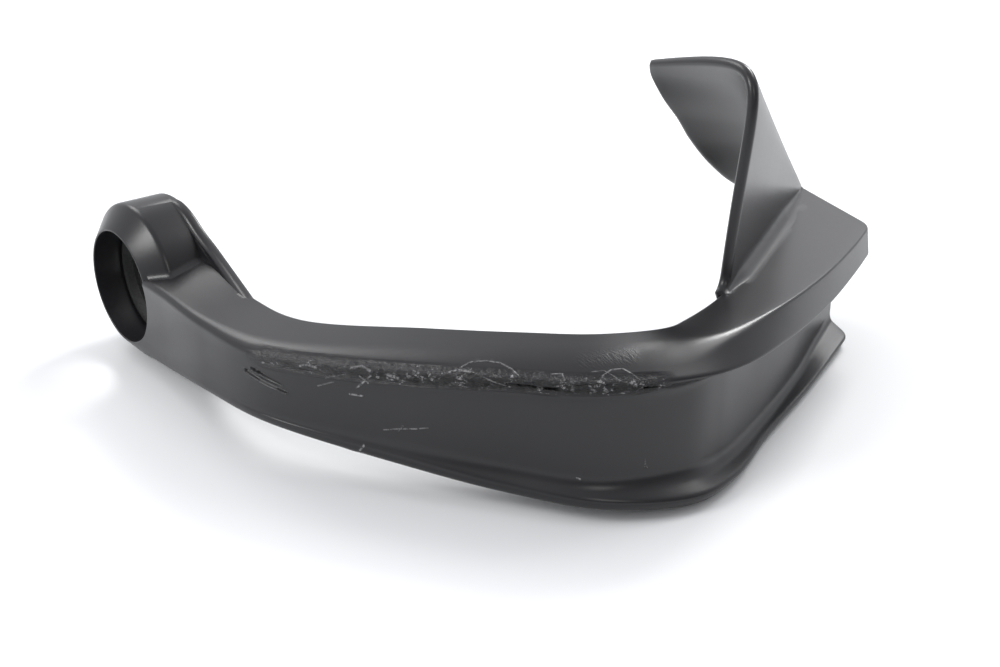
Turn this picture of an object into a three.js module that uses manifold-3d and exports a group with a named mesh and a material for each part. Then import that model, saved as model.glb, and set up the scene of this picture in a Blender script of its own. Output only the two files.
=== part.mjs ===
// Motorcycle hand guard: a bar-end eye, an arm that runs forward and across in front of the
// levers, a channelled front with an upper and a lower flange, and an upright wind wing.
//
// Drafting axes, mm: +X inboard along the handlebar, -Y forward, +Z up, with the guard lying as
// it rests on a bench. Shapes are drafted from the point on the bench under the centre of the
// eye's outboard rim, and the whole guard is then moved so that its origin is under its middle.

import * as THREE from 'three';
import { mergeVertices } from 'three/addons/utils/BufferGeometryUtils.js';
import Module from 'manifold-3d';

const wasm = await Module();
wasm.setup();

// ---------------------------------------------------------------- driving dimensions

const MIDDLE = { x: 108.9, y: -82.2 }; // plan centre of the guard, measured from the eye
const WALL = 3.2; // moulded wall of the shell
const GAP = 0.3; // air between two pieces that touch
const COVER = 2.6; // thickness of the rear cover

const EYE = {
  bore: 19, // radius of the bar-end hole
  land: 19.6, // radius of the thin flat rim at the outboard end
  outer: 27, // radius of the ring
  chamfer: 6.3, // axial length of the cone from the rim to the ring
  ring: 20, // axial length of the ring
  collar: { start: 18.5, end: 22.5 }, // raised collar behind the ring, with the gusset
};
const LINER = { inner: 17, start: 10, end: 21.6 }; // rubber sleeve deep in the bore

const WING_THICKNESS = 3.4;
const POST = { outer: 3.8, clear: 1 }; // radius of a screw post, and air between it and the cover
const PAD = { outer: 6.6, stand: 1.5 }; // radius of a mount pad, and its rise from the cover
const SCREW = { shank: 1.25, head: 2.9, headHeight: 1.3, length: 11, recess: 3.4, socketDepth: 0.8 };
const INSERT = { outer: 4.2, inner: 2.55, length: 10 }; // brass, for an M6 bolt
const OVERCUT = 6; // how far a cutting tool runs past the face it opens
const MOUNT_YAW = THREE.MathUtils.degToRad(22); // the front run's angle to the handlebar

const LOFT_STEPS = 4; // slices between two stations
const ROUND_SEGMENTS = 48;
const PAD_SEGMENTS = 32;
const SMALL_SEGMENTS = 20;

// ---------------------------------------------------------------- sections along the guard

// Each station gives the ridge, the outermost line of the guard, and around it the section's
// corners as [inward, up] from the ridge:
//   back   rear edge of the top face          crease  where the top face turns down to the ridge
//   under  underside of the upper flange      foot    web meets the lower flange
//   lip    front edge of the lower flange     base    bottom of that edge
//   heel   rear bottom edge
// skew swings the section's inner end inboard, and rake moves what is low outboard.
const STATIONS = [
  { ridge: [0, -6, 33.5], back: [20, 6.5], crease: [2, 2], under: [0.2, -3], foot: [0.2, -21],
    lip: [0, -24.5], base: [0.5, -27], heel: [20, -26.5], skew: 0, rake: 0 },
  { ridge: [-1, -30, 34.5], back: [20, 5], crease: [2, 2], under: [0.2, -3], foot: [0.2, -21.5],
    lip: [0, -23.5], base: [0.5, -26], heel: [20, -25.5], skew: 0, rake: 0 },
  { ridge: [-3, -60, 35], back: [20, 3], crease: [2.5, 2], under: [0.3, -3], foot: [0.5, -18],
    lip: [0, -20.8], base: [0.8, -22.8], heel: [19, -22.8], skew: 0, rake: 0 },
  { ridge: [-1, -91, 36], back: [20, 3.5], crease: [4, 2.2], under: [0.4, -4], foot: [0.8, -19],
    lip: [0, -20], base: [0.8, -22.5], heel: [19, -22], skew: 0, rake: 0 },
  { ridge: [19, -131.5, 39], back: [21, 5], crease: [7, 3.2], under: [0.8, -5], foot: [0.5, -23],
    lip: [-1, -26], base: [0, -29], heel: [20, -28], skew: 0, rake: 0 },
  { ridge: [36, -156, 41], back: [20, 5.5], crease: [8, 3.8], under: [1.2, -5], foot: [1, -28],
    lip: [-2, -31], base: [-1, -34.5], heel: [19, -33], skew: 0, rake: 0 },
  { ridge: [53, -176.5, 42], back: [20, 6], crease: [9, 4.4], under: [2, -6], foot: [1, -31],
    lip: [-3, -34], base: [-2, -37.5], heel: [19, -37], skew: 0, rake: 0 },
  { ridge: [77, -188, 40.5], back: [20, 7], crease: [9, 6], under: [5, -3], foot: [4, -31],
    lip: [-3, -35], base: [-1.5, -38.5], heel: [20, -38], skew: 0, rake: 0 },
  { ridge: [95, -189, 39], back: [22, 7.5], crease: [7, 7.5], under: [8, -1], foot: [7, -32],
    lip: [0, -34.5], base: [2, -37.5], heel: [21, -38], skew: 0, rake: 0 },
  { ridge: [123, -182, 36.5], back: [23, 9], crease: [4, 9.5], under: [12, -1], foot: [9, -31],
    lip: [4, -32.5], base: [5.5, -35.5], heel: [23, -36], skew: 0, rake: 0 },
  { ridge: [155, -171, 34.5], back: [30, 9.5], crease: [2.5, 9.5], under: [13, -1],
    foot: [10.5, -29.5], lip: [4, -30.5], base: [5.5, -33.5], heel: [25, -34], skew: 0.3, rake: 0 },
  { ridge: [184, -159, 33.5], back: [33.5, 9], crease: [2, 8.5], under: [14, -1],
    foot: [12, -28.5], lip: [3.5, -29.5], base: [5, -32.5], heel: [26, -33], skew: 0.6, rake: 0.15 },
  { ridge: [204, -150, 33], back: [35.5, 8.5], crease: [2, 8], under: [14, -1], foot: [12, -28],
    lip: [3, -29], base: [4.5, -32], heel: [26, -32.5], skew: 0.9, rake: 0.3 },
];

// Plan directions at a station: along the guard, and inward to the hand side.
function frameAt(index) {
  const before = STATIONS[Math.max(index - 1, 0)].ridge;
  const after = STATIONS[Math.min(index + 1, STATIONS.length - 1)].ridge;
  const along = new THREE.Vector3(after[0] - before[0], after[1] - before[1], 0).normalize();
  const inward = new THREE.Vector3(-along.y, along.x, 0);
  return { along, inward };
}

// A section's point at a station, from its offset [inward, up].
function place(index, [inwards, up]) {
  const { ridge, skew, rake } = STATIONS[index];
  const { along, inward } = frameAt(index);
  return new THREE.Vector3(...ridge)
    .addScaledVector(inward, inwards)
    .addScaledVector(along, skew * inwards + rake * up)
    .add(new THREE.Vector3(0, 0, up));
}

// A smooth edge along the whole guard, from the offset that pick(station) gives at each station.
function rail(pick) {
  const points = STATIONS.map((station, index) => place(index, pick(station)));
  return new THREE.CatmullRomCurve3(points, false, 'centripetal');
}

// Inward position of the rear face at a height, on the line from the back edge to the heel.
function rearFace(station, up) {
  const { back, heel } = station;
  return THREE.MathUtils.mapLinear(up, heel[1], back[1], heel[0], back[0]);
}

// Lowest and highest points of the space inside the shell at a station.
const pocketTop = (station) => Math.min(station.back[1], station.crease[1] + 3) - WALL;
const pocketBottom = (station) => station.heel[1] + WALL;

// ---------------------------------------------------------------- solids

// Closed three.js geometry to manifold solid, turned so that its faces point out.
function solid(geometry) {
  const bare = geometry.clone();
  bare.deleteAttribute('normal');
  bare.deleteAttribute('uv');
  const merged = mergeVertices(bare, 1e-4);
  const vertProperties = new Float32Array(merged.attributes.position.array);
  const triVerts = new Uint32Array(merged.index.array);
  if (signedVolume(vertProperties, triVerts) < 0) {
    for (let i = 0; i < triVerts.length; i += 3) {
      [triVerts[i], triVerts[i + 1]] = [triVerts[i + 1], triVerts[i]];
    }
  }
  return new wasm.Manifold(new wasm.Mesh({ numProp: 3, vertProperties, triVerts }));
}

function signedVolume(vertices, triangles) {
  const corner = (k) => new THREE.Vector3().fromArray(vertices, 3 * triangles[k]);
  let volume = 0;
  for (let i = 0; i < triangles.length; i += 3) {
    volume += corner(i).dot(corner(i + 1).cross(corner(i + 2))) / 6;
  }
  return volume;
}

function geometryOf(manifold) {
  const { vertProperties, triVerts, numProp } = manifold.getMesh();
  const count = vertProperties.length / numProp;
  const positions = new Float32Array(3 * count);
  for (let i = 0; i < count; i += 1) {
    for (let k = 0; k < 3; k += 1) {
      positions[3 * i + k] = vertProperties[numProp * i + k];
    }
  }
  const geometry = new THREE.BufferGeometry();
  geometry.setAttribute('position', new THREE.BufferAttribute(positions, 3));
  geometry.setIndex(new THREE.BufferAttribute(new Uint32Array(triVerts), 1));
  geometry.computeVertexNormals();
  return geometry;
}

// Solid with the given rails as its long edges, between two places along the guard (0 to 1).
function loft(rails, from = 0, to = 1, steps = LOFT_STEPS * (STATIONS.length - 1)) {
  const corners = rails.length;
  const positions = [];
  for (let i = 0; i <= steps; i += 1) {
    const t = THREE.MathUtils.lerp(from, to, i / steps);
    rails.forEach((curve) => positions.push(...curve.getPoint(t).toArray()));
  }
  const index = [];
  for (let i = 0; i < steps; i += 1) {
    for (let k = 0; k < corners; k += 1) {
      const a = i * corners + k;
      const b = i * corners + ((k + 1) % corners);
      index.push(a, b, a + corners, b, b + corners, a + corners);
    }
  }
  index.push(...cap(positions, 0, corners, false));
  index.push(...cap(positions, steps * corners, corners, true));
  const geometry = new THREE.BufferGeometry();
  geometry.setAttribute('position', new THREE.Float32BufferAttribute(positions, 3));
  geometry.setIndex(index);
  return solid(geometry);
}

// Triangles that close one end of a loft, worked out in the plane of that end.
function cap(positions, start, corners, far) {
  const points = [];
  for (let k = 0; k < corners; k += 1) {
    points.push(new THREE.Vector3().fromArray(positions, 3 * (start + k)));
  }
  const reach = points.map((p) => Math.hypot(p.x - points[0].x, p.y - points[0].y));
  const widest = points[reach.indexOf(Math.max(...reach))];
  const across = new THREE.Vector3(widest.x - points[0].x, widest.y - points[0].y, 0).normalize();
  const flat = points.map((p) => new THREE.Vector2(p.dot(across), p.z));
  const clockwise = THREE.ShapeUtils.isClockWise(flat);
  const faces = THREE.ShapeUtils.triangulateShape(clockwise ? [...flat].reverse() : flat, []);
  const number = (k) => start + (clockwise ? corners - 1 - k : k);
  return faces.flatMap((face) => {
    const [a, b, c] = face.map(number);
    return (clockwise !== far) ? [a, b, c] : [a, c, b];
  });
}

// Cylinder from a point, along a direction.
function rod(from, direction, length, radius, segments = SMALL_SEGMENTS) {
  const geometry = new THREE.CylinderGeometry(radius, radius, length, segments);
  geometry.translate(0, length / 2, 0);
  const up = new THREE.Vector3(0, 1, 0);
  const turn = new THREE.Quaternion().setFromUnitVectors(up, direction.clone().normalize());
  geometry.applyQuaternion(turn);
  geometry.translate(from.x, from.y, from.z);
  return solid(geometry);
}

const INBOARD = new THREE.Vector3(1, 0, 0);
const eyePoint = (x) => new THREE.Vector3(x, 0, EYE.outer);

// ---------------------------------------------------------------- the shell's own features

// Arm, web and both flanges, as one solid bar before it is hollowed.
function bar() {
  const names = ['back', 'crease', 'ridge', 'under', 'foot', 'lip', 'base', 'heel'];
  return loft(names.map((name) => rail((s) => (name === 'ridge' ? [0, 0] : s[name]))));
}

// Ring with a steep cone at its outboard end, still without its hole.
function ring() {
  const profile = [
    new THREE.Vector2(0, 0),
    new THREE.Vector2(EYE.land, 0),
    new THREE.Vector2(EYE.outer, EYE.chamfer),
    new THREE.Vector2(EYE.outer, EYE.ring),
    new THREE.Vector2(0, EYE.ring),
  ];
  const geometry = new THREE.LatheGeometry(profile, ROUND_SEGMENTS);
  geometry.rotateZ(-Math.PI / 2);
  geometry.translate(0, 0, EYE.outer);
  return solid(geometry);
}

// Raised collar behind the ring, whose top runs down to the arm as a gusset.
const GUSSET = { straight: -26, tip: -60, lean: 5.5 };
function collar() {
  const top = 2 * EYE.outer;
  const outline = new THREE.Shape();
  outline.moveTo(0, top);
  outline.lineTo(-6, top);
  outline.quadraticCurveTo(-12, top - 0.6, -18, 49.2);
  outline.quadraticCurveTo(-31, 41, GUSSET.tip, 37.6);
  outline.lineTo(GUSSET.tip, 14);
  outline.lineTo(-14, 6);
  outline.absarc(0, EYE.outer, EYE.outer, Math.PI * 1.33, Math.PI * 2.5, false);
  const depth = EYE.collar.end - EYE.collar.start;
  const geometry = new THREE.ExtrudeGeometry(outline, { depth, bevelEnabled: false, curveSegments: 24 });
  geometry.rotateY(Math.PI / 2);
  geometry.rotateX(Math.PI / 2);
  geometry.translate(EYE.collar.start, 0, 0);
  followArm(geometry.attributes.position);
  return solid(geometry);
}

// Leans the gusset over with the arm's rear face, so that its tip ends inside the arm.
function followArm(position) {
  for (let i = 0; i < position.count; i += 1) {
    const past = Math.max(GUSSET.straight - position.getY(i), 0) / (GUSSET.straight - GUSSET.tip);
    position.setX(i, position.getX(i) - GUSSET.lean * past ** 1.4);
  }
}

// Wing: a wall that stands on the rear edge of the upper flange and rolls back over the hand.
// Its sections shrink from the free outboard edge to a point at the flange's inboard end.
const WING = {
  root: [new THREE.Vector3(118.2, -158.5, 45), new THREE.Vector3(217, -107, 41)],
  crown: [new THREE.Vector3(126.8, -157.3, 114.1), new THREE.Vector3(217, -106, 44.5)],
  sunk: 3, // how far the wall goes down into the flange
};
const WING_TAIL = new THREE.CatmullRomCurve3([
  [141.6, -102.5, 100.1], [143.6, -101.3, 95.5], [145.8, -104.2, 88.5], [151.3, -105.6, 81],
  [158.2, -105.5, 72], [168.1, -106, 61.5], [186.1, -104.6, 49.4], [215.8, -102.3, 42.6],
].map((p) => new THREE.Vector3(...p)), false, 'centripetal');

// Middle surface of the wing: along runs from outboard to inboard, around from root to tail.
function wingPoint(along, around) {
  const root = WING.root[0].clone().lerp(WING.root[1], along);
  const crown = WING.crown[0].clone().lerp(WING.crown[1], along);
  const tail = WING_TAIL.getPoint(along);
  const hull = [
    root,
    root.clone().lerp(crown, 0.59),
    crown,
    crown.clone().lerp(tail, -0.31),
    crown.clone().lerp(tail, 0.58),
    tail,
  ];
  while (hull.length > 1) {
    for (let i = 0; i < hull.length - 1; i += 1) {
      hull[i].lerp(hull[i + 1], around);
    }
    hull.pop();
  }
  return hull[0];
}

function wing() {
  const rows = 14;
  const columns = 14;
  const step = 1e-3;
  const front = [];
  const rear = [];
  for (let i = 0; i <= rows; i += 1) {
    const along = i / rows;
    for (let j = -1; j <= columns; j += 1) {
      const around = Math.max(j, 0) / columns;
      const a = Math.min(along, 1 - step);
      const b = Math.min(around, 1 - step);
      const base = wingPoint(a, b);
      const slopeAlong = wingPoint(a + step, b).sub(base);
      const slopeAround = wingPoint(a, b + step).sub(base);
      const half = slopeAlong.cross(slopeAround).setLength(WING_THICKNESS / 2);
      const middle = wingPoint(along, around);
      middle.z -= j < 0 ? WING.sunk : 0;
      front.push(middle.clone().add(half));
      rear.push(middle.clone().sub(half));
    }
  }
  return solid(sheetGeometry(front, rear, rows + 1, columns + 2));
}

// Closed geometry between two grids of points that lie on either side of a sheet.
function sheetGeometry(front, rear, rows, columns) {
  const points = [...front, ...rear];
  const offset = front.length;
  const index = [];
  const quad = (a, b, c, d) => index.push(a, b, c, a, c, d);
  for (let i = 0; i < rows - 1; i += 1) {
    for (let j = 0; j < columns - 1; j += 1) {
      const a = i * columns + j;
      quad(a, a + columns, a + columns + 1, a + 1);
      quad(a + offset, a + 1 + offset, a + columns + 1 + offset, a + columns + offset);
    }
  }
  const border = [];
  for (let j = 0; j < columns - 1; j += 1) border.push(j);
  for (let i = 0; i < rows - 1; i += 1) border.push(i * columns + columns - 1);
  for (let j = columns - 1; j > 0; j -= 1) border.push((rows - 1) * columns + j);
  for (let i = rows - 1; i > 0; i -= 1) border.push(i * columns);
  border.forEach((a, k) => {
    const b = border[(k + 1) % border.length];
    quad(a, b, b + offset, a + offset);
  });
  const geometry = new THREE.BufferGeometry().setFromPoints(points);
  geometry.setIndex(index);
  return geometry;
}

// ---------------------------------------------------------------- hollow, cover and fixings

const POCKET = { from: 0.15, to: 0.945 }; // the hollow's two ends along the guard
const NOSE = 1.6; // height of the hollow's narrow part, up in the flange

// The hollow: behind the front wall, up into the thick upper flange, open to the hand side.
function pocket() {
  const shelf = (s) => Math.min(s.under[1] + WALL, pocketTop(s) - NOSE);
  const nose = (s) => Math.max(s.crease[0], s.under[0] * 0.4) + WALL + 1;
  return loft([
    rail((s) => [rearFace(s, pocketTop(s)) + OVERCUT, pocketTop(s)]),
    rail((s) => [nose(s), pocketTop(s)]),
    rail((s) => [nose(s), shelf(s)]),
    rail((s) => [Math.max(s.under[0] + WALL, nose(s) + 0.3), shelf(s) - 0.1]),
    rail((s) => [s.foot[0] + WALL + 0.3, pocketBottom(s)]),
    rail((s) => [rearFace(s, pocketBottom(s)) + OVERCUT, pocketBottom(s)]),
  ], POCKET.from, POCKET.to);
}

// Rear cover: a plate that fills the hollow's mouth, flush with the shell's rear face.
function coverPlate() {
  const high = (s) => pocketTop(s) - GAP;
  const low = (s) => pocketBottom(s) + GAP;
  const inset = 0.002; // shortens the plate at both ends to leave its gap
  return loft([
    rail((s) => [rearFace(s, high(s)), high(s)]),
    rail((s) => [rearFace(s, high(s)) - COVER, high(s)]),
    rail((s) => [rearFace(s, low(s)) - COVER, low(s)]),
    rail((s) => [rearFace(s, low(s)), low(s)]),
  ], POCKET.from + inset, POCKET.to - inset);
}

// Screws hold the cover to posts inside the shell: place along the guard, and share of height.
const SCREW_PLACES = [
  [0.18, 0.5], [0.3, 0.5], [0.42, 0.5], [0.54, 0.5], [0.655, 0.8], [0.655, 0.22], [0.925, 0.5],
];

const FRONT_WALL = rail((s) => [s.foot[0] + 0.5 * WALL, pocketBottom(s)]);
const FRONT_WALL_TOP = rail((s) => [s.under[0] + 0.5 * WALL, s.under[1]]);
const MOUTH_TOP = rail((s) => [rearFace(s, pocketTop(s)), pocketTop(s)]);
const MOUTH_BOTTOM = rail((s) => [rearFace(s, pocketBottom(s)), pocketBottom(s)]);

// A point on the rear face, the inward direction there, and the distance to the front wall.
function onRearFace(along, share) {
  const face = MOUTH_BOTTOM.getPoint(along).lerp(MOUTH_TOP.getPoint(along), share);
  const travel = MOUTH_BOTTOM.getTangent(along);
  const inward = new THREE.Vector3(-travel.y, travel.x, 0).normalize();
  const wall = FRONT_WALL.getPoint(along).lerp(FRONT_WALL_TOP.getPoint(along), share);
  return { face, inward, depth: face.clone().sub(wall).dot(inward) };
}

const screwSeats = SCREW_PLACES.map(([along, share]) => onRearFace(along, share));

// Two pads on the inboard run carry the brass inserts for the inner bracket's bolts.
const MOUNT_INWARD = new THREE.Vector3(-Math.sin(MOUNT_YAW), Math.cos(MOUNT_YAW), 0);
const mountPads = [0.745, 0.855].map((along) => {
  const seat = onRearFace(along, 0.5);
  const end = seat.face.clone().addScaledVector(MOUNT_INWARD, PAD.stand);
  return { ...seat, inward: MOUNT_INWARD, end };
});

const backFrom = (point, inward, distance) => point.clone().addScaledVector(inward, -distance);

function addPosts(shell) {
  let result = shell;
  screwSeats.forEach(({ face, inward, depth }) => {
    const length = depth - COVER - POST.clear;
    const foot = backFrom(face, inward, depth);
    result = result.add(rod(foot, inward, length, POST.outer));
    const hole = backFrom(face, inward, SCREW.length + 2);
    result = result.subtract(rod(hole, inward, SCREW.length + 2, SCREW.shank + GAP));
  });
  mountPads.forEach(({ end, inward, depth }) => {
    const length = depth + PAD.stand;
    result = result.add(rod(backFrom(end, inward, length), inward, length, PAD.outer, PAD_SEGMENTS));
    const hole = backFrom(end, inward, INSERT.length + GAP);
    const reach = INSERT.length + OVERCUT;
    result = result.subtract(rod(hole, inward, reach, INSERT.outer + GAP, PAD_SEGMENTS));
  });
  return result;
}

function guardShell() {
  const hollowBar = addPosts(bar().add(collar()).subtract(pocket()));
  const bore = rod(eyePoint(-OVERCUT), INBOARD, EYE.collar.end + 2 * OVERCUT, EYE.bore, ROUND_SEGMENTS);
  return hollowBar.add(ring()).add(wing()).subtract(bore);
}

function rearCover() {
  let plate = coverPlate();
  screwSeats.forEach(({ face, inward }) => {
    const seat = backFrom(face, inward, SCREW.headHeight + GAP);
    plate = plate.subtract(rod(seat, inward, OVERCUT, SCREW.recess));
    const behind = backFrom(face, inward, OVERCUT);
    plate = plate.subtract(rod(behind, inward, 2 * OVERCUT, SCREW.shank + GAP));
  });
  mountPads.forEach(({ face, inward }) => {
    const behind = backFrom(face, inward, OVERCUT);
    plate = plate.subtract(rod(behind, inward, 2 * OVERCUT, PAD.outer + GAP, PAD_SEGMENTS));
  });
  return plate;
}

// Cover screw: head in the cover's recess, shank in the post's hole, hexagon socket in the head.
function coverScrew({ face, inward }) {
  const seat = backFrom(face, inward, SCREW.headHeight);
  const tip = backFrom(face, inward, SCREW.length);
  const shank = rod(tip, inward, SCREW.length - SCREW.headHeight / 2, SCREW.shank, 12);
  const head = rod(seat, inward, SCREW.headHeight, SCREW.head);
  const socket = rod(backFrom(face, inward, SCREW.socketDepth), inward, OVERCUT, SCREW.head * 0.4, 6);
  return shank.add(head).subtract(socket);
}

function brassInsert({ end, inward }) {
  const start = backFrom(end, inward, INSERT.length);
  const body = rod(start, inward, INSERT.length, INSERT.outer, PAD_SEGMENTS);
  const mouth = backFrom(start, inward, OVERCUT);
  return body.subtract(rod(mouth, inward, INSERT.length + 2 * OVERCUT, INSERT.inner, PAD_SEGMENTS));
}

function eyeLiner() {
  const length = LINER.end - LINER.start;
  const sleeve = rod(eyePoint(LINER.start), INBOARD, length, EYE.bore - GAP, ROUND_SEGMENTS);
  const hole = rod(eyePoint(-OVERCUT), INBOARD, 2 * EYE.collar.end, LINER.inner, ROUND_SEGMENTS);
  return sleeve.subtract(hole);
}

// ---------------------------------------------------------------- materials and assembly

const material = (color, roughness, metalness = 0) => (
  new THREE.MeshStandardMaterial({ color, roughness, metalness })
);
const MATERIALS = {
  shell: material(0x1b1b1e, 0.55),
  cover: material(0x202022, 0.65),
  rubber: material(0x121212, 0.9),
  screw: material(0x4a4c50, 0.35, 1),
  brass: material(0xb08d4a, 0.35, 1),
};

const guard = new THREE.Group();
guard.position.set(-MIDDLE.x, -MIDDLE.y, 0);

function addPiece(name, manifold, finish) {
  const mesh = new THREE.Mesh(geometryOf(manifold), finish);
  mesh.name = name;
  guard.add(mesh);
}

addPiece('guard_shell', guardShell(), MATERIALS.shell);
addPiece('rear_cover', rearCover(), MATERIALS.cover);
addPiece('eye_liner', eyeLiner(), MATERIALS.rubber);
screwSeats.forEach((seat, i) => addPiece(`cover_screw_${i + 1}`, coverScrew(seat), MATERIALS.screw));
mountPads.forEach((pad, i) => addPiece(`mount_insert_${i + 1}`, brassInsert(pad), MATERIALS.brass));

export default guard;
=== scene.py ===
"""Motorcycle hand guard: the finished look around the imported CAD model.

The shell's surfaces are drafted in millimetres from the eye, as the CAD model's are, and go
into the row frame in metres at the end.
"""

import math

import bmesh
import bpy
import numpy as np
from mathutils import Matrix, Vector, noise
from mathutils.bvhtree import BVHTree
from mathutils.kdtree import KDTree


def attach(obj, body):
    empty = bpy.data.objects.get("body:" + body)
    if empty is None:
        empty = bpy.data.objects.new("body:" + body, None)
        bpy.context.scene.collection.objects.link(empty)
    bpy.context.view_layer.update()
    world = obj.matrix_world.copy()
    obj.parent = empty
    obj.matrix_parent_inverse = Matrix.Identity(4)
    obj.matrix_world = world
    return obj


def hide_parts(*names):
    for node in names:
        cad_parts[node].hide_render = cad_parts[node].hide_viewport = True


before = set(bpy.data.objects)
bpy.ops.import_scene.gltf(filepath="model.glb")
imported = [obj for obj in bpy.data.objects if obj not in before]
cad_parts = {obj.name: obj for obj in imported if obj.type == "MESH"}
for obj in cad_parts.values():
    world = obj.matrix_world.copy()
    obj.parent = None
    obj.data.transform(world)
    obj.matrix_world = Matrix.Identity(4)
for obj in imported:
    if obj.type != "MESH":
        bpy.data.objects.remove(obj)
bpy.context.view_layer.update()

MIDDLE = np.array([108.9, -82.2, 0.0])  # plan centre of the guard, from the eye
WALL = 3.2  # thickness of the shell
GAP = 0.3  # clearance between pieces
COVER = 2.6  # thickness of the rear cover
SHARP_ANGLE = math.radians(38)

# ---------------------------------------- sections along the guard

# ridge, then [inward, up] offsets from it: back, crease, under, foot, lip, base, heel; skew, rake
STATIONS = [
    ((0, -6, 33.5), (20, 6.5), (1.3, 1.3), (0.2, -3), (0.2, -21), (0, -24.5), (0.5, -27),
     (20, -26.5), 0, 0),
    ((-1, -30, 34.5), (20, 5), (1.3, 1.3), (0.2, -3), (0.2, -21.5), (0, -23.5), (0.5, -26),
     (20, -25.5), 0, 0),
    ((-3, -60, 35), (20, 3), (2, 1.6), (0.3, -3), (0.5, -18), (0, -20.8), (0.8, -22.8),
     (19, -22.8), 0, 0),
    ((-1, -91, 36), (20, 3.5), (4, 2.2), (0.4, -4), (0.8, -19), (0, -20), (0.8, -22.5),
     (19, -22), 0, 0),
    ((19, -131.5, 39), (21, 5), (7, 3.2), (0.8, -5), (0.5, -23), (-1, -26), (0, -29),
     (20, -28), 0, 0),
    ((36, -156, 41), (20, 5.5), (8, 3.8), (1.2, -5), (1, -28), (-2, -31), (-1, -34.5),
     (19, -33), 0, 0),
    ((53, -176.5, 42), (20, 6), (9, 4.4), (2, -6), (1, -31), (-3, -34), (-2, -37.5),
     (19, -37), 0, 0),
    ((77, -188, 40.5), (20, 7), (9, 6), (5, -3), (4, -31), (-3, -35), (-1.5, -38.5),
     (20, -38), 0, 0),
    ((95, -189, 39), (22, 7.5), (7, 7.5), (8, -1), (7, -32), (0, -34.5), (2, -37.5),
     (21, -38), 0, 0),
    ((123, -182, 36.5), (23, 9), (4, 9.5), (12, -1), (9, -31), (4, -32.5), (5.5, -35.5),
     (23, -36), 0, 0),
    ((155, -171, 34.5), (30, 9.5), (2.5, 9.5), (13, -1), (10.5, -29.5), (4, -30.5), (5.5, -33.5),
     (25, -34), 0.3, 0),
    ((184, -159, 33.5), (33.5, 9), (2, 8.5), (14, -1), (12, -28.5), (3.5, -29.5), (5, -32.5),
     (26, -33), 0.6, 0.15),
    ((204, -150, 33), (35.5, 8.5), (2, 8), (14, -1), (12, -28), (3, -29), (4.5, -32),
     (26, -32.5), 0.9, 0.3),
]
COUNT = len(STATIONS)
RIDGE = np.array([s[0] for s in STATIONS], float)
NAMES = ("back", "crease", "under", "foot", "lip", "base", "heel")
OFFSETS = {name: np.array([s[1 + k] for s in STATIONS], float) for k, name in enumerate(NAMES)}
OFFSETS["ridge"] = np.zeros((COUNT, 2))
SKEW = np.array([s[8] for s in STATIONS], float)
RAKE = np.array([s[9] for s in STATIONS], float)

# How far the rounding of each long edge reaches from its corner, at each station.
ROUNDING = {
    "back": [0.9] * COUNT,
    "crease": [1.0, 1.0, 1.6, 3.5, 6, 7, 7, 5, 2.2, 0.8, 0.7, 0.7, 0.7],
    "ridge": [0.8, 0.8, 1.0, 1.6, 1.7, 1.7, 1.8, 1.8, 1.5, 1.2, 1.0, 1.0, 1.0],
    "under": [1.4, 1.4, 1.4, 2, 3.5, 4, 4.5, 3.5, 2.4, 2, 1.8, 1.8, 1.8],
    "foot": [0.9, 0.9, 1, 2, 3, 3, 3, 3, 3, 2.6, 2.4, 2.4, 2.4],
    "lip": [0.9, 0.9, 1, 1.6, 1.6, 1.6, 1.6, 1.6, 1.6, 1.6, 1.6, 1.6, 1.6],
    "base": [1.0, 1.0, 1.2, 1.6, 1.6, 1.6, 1.6, 1.6, 1.6, 1.6, 1.6, 1.6, 1.6],
    "heel": [0.9] * COUNT,
}


def unit(v):
    return v / np.maximum(np.linalg.norm(v, axis=-1, keepdims=True), 1e-9)


def stations_along():
    """Plan directions along the guard and inward, at each station."""
    before = RIDGE[np.maximum(np.arange(COUNT) - 1, 0)]
    after = RIDGE[np.minimum(np.arange(COUNT) + 1, COUNT - 1)]
    along = after - before
    along[:, 2] = 0
    along = unit(along)
    inward = np.stack([-along[:, 1], along[:, 0], np.zeros(COUNT)], axis=1)
    return along, inward


ALONG, INWARD = stations_along()


def place(offsets):
    """Points at the stations, from [inward, up] offsets."""
    a, b = offsets[:, :1], offsets[:, 1:]
    up = np.array([0, 0, 1.0])
    return RIDGE + INWARD * a + ALONG * (SKEW[:, None] * a + RAKE[:, None] * b) + up * b


def curve_points(points, t):
    """Centripetal Catmull-Rom curve through the points, at places t from 0 to 1."""
    points = np.asarray(points, float)
    t = np.atleast_1d(t)
    padded = np.vstack([2 * points[0] - points[1], points, 2 * points[-1] - points[-2]])
    spans = len(points) - 1
    span = np.clip((t * spans).astype(int), 0, spans - 1)
    weight = (t * spans - span)[:, None]
    p0, p1, p2, p3 = (padded[span + k] for k in range(4))
    d0, d1, d2 = (
        np.sqrt(np.linalg.norm(b - a, axis=1))[:, None] for a, b in ((p0, p1), (p1, p2), (p2, p3))
    )
    t1 = (p1 - p0) / d0 - (p2 - p0) / (d0 + d1) + (p2 - p1) / d1
    t2 = (p2 - p1) / d1 - (p3 - p1) / (d1 + d2) + (p3 - p2) / d2
    t1, t2 = t1 * d1, t2 * d1
    c2 = -3 * p1 + 3 * p2 - 2 * t1 - t2
    c3 = 2 * p1 - 2 * p2 + t1 + t2
    return p1 + weight * (t1 + weight * (c2 + weight * c3))


def rail(offsets, t):
    return curve_points(place(np.asarray(offsets, float)), t)


def by_station(values, t):
    """Station values, smoothly carried to places t."""
    return np.interp(t * (COUNT - 1), np.arange(COUNT), values)


# ---------------------------------------- mesh building


def add_object(name, data):
    made = bpy.data.objects.new(name, data)
    bpy.context.scene.collection.objects.link(made)
    return made


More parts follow.
